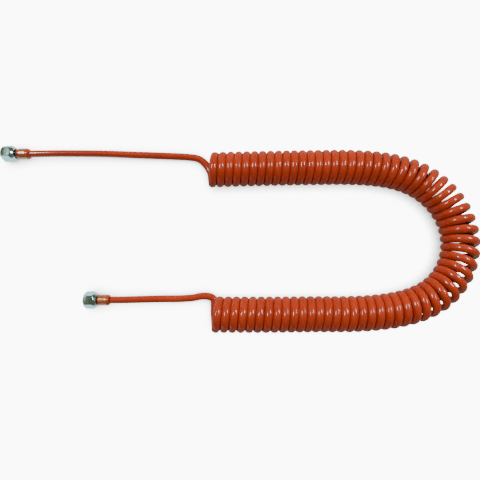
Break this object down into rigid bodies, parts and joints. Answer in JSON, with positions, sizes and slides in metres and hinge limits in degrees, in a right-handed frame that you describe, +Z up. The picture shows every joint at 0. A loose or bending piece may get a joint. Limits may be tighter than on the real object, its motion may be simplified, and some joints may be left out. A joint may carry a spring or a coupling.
{
  "type": "coiled air hose assembly",
  "caption": "Orange coiled air hose laid in a U, with straight tails ending in plated union nuts on barbed nipples held by crimp ferrules.",
  "frame": {"origin": "on the surface that the hose lies on, under the middle of the whole object", "axes": "+X from the fittings towards the bend of the U, +Y towards the leg with the long tail, +Z up"},
  "size_m": [0.5422, 0.2125, 0.0395],
  "materials": {
    "hose_orange": "glossy extruded polyurethane",
    "plated_steel": "bright zinc plating",
    "ferrule_bronze": "satin turned bronze with fine rings"
  },
  "bodies": {
    "coil": {"coil_leg_a": "hose_orange", "coil_bend": "hose_orange", "coil_leg_b": "hose_orange"},
    "end_a": {"tail_a": "hose_orange", "hose_end_a": "hose_orange", "nipple_a": "plated_steel", "ferrule_a": "ferrule_bronze"},
    "end_b": {"tail_b": "hose_orange", "hose_end_b": "hose_orange", "nipple_b": "plated_steel", "ferrule_b": "ferrule_bronze"},
    "nut_a": {"union_nut_a": "plated_steel"},
    "nut_b": {"union_nut_b": "plated_steel"}
  },
  "joints": [
    {"name": "end_a_pull", "type": "slide", "parent": "coil", "child": "end_a", "axis": [-1, 0, 0], "range_m": [0, 0.3], "stiffness_N_per_m": 12, "deforming": ["coil_leg_a"]},
    {"name": "end_b_pull", "type": "slide", "parent": "coil", "child": "end_b", "axis": [-1, 0, 0], "range_m": [0, 0.3], "stiffness_N_per_m": 12, "deforming": ["coil_leg_b"]},
    {"name": "nut_a_spin", "type": "hinge", "parent": "end_a", "child": "nut_a", "pos_m": [-0.25795, 0.0962, 0.0085], "axis": [1, 0, 0], "continuous": true},
    {"name": "nut_b_spin", "type": "hinge", "parent": "end_b", "child": "nut_b", "pos_m": [-0.15795, -0.0712, 0.0085], "axis": [1, 0, 0], "continuous": true}
  ]
}
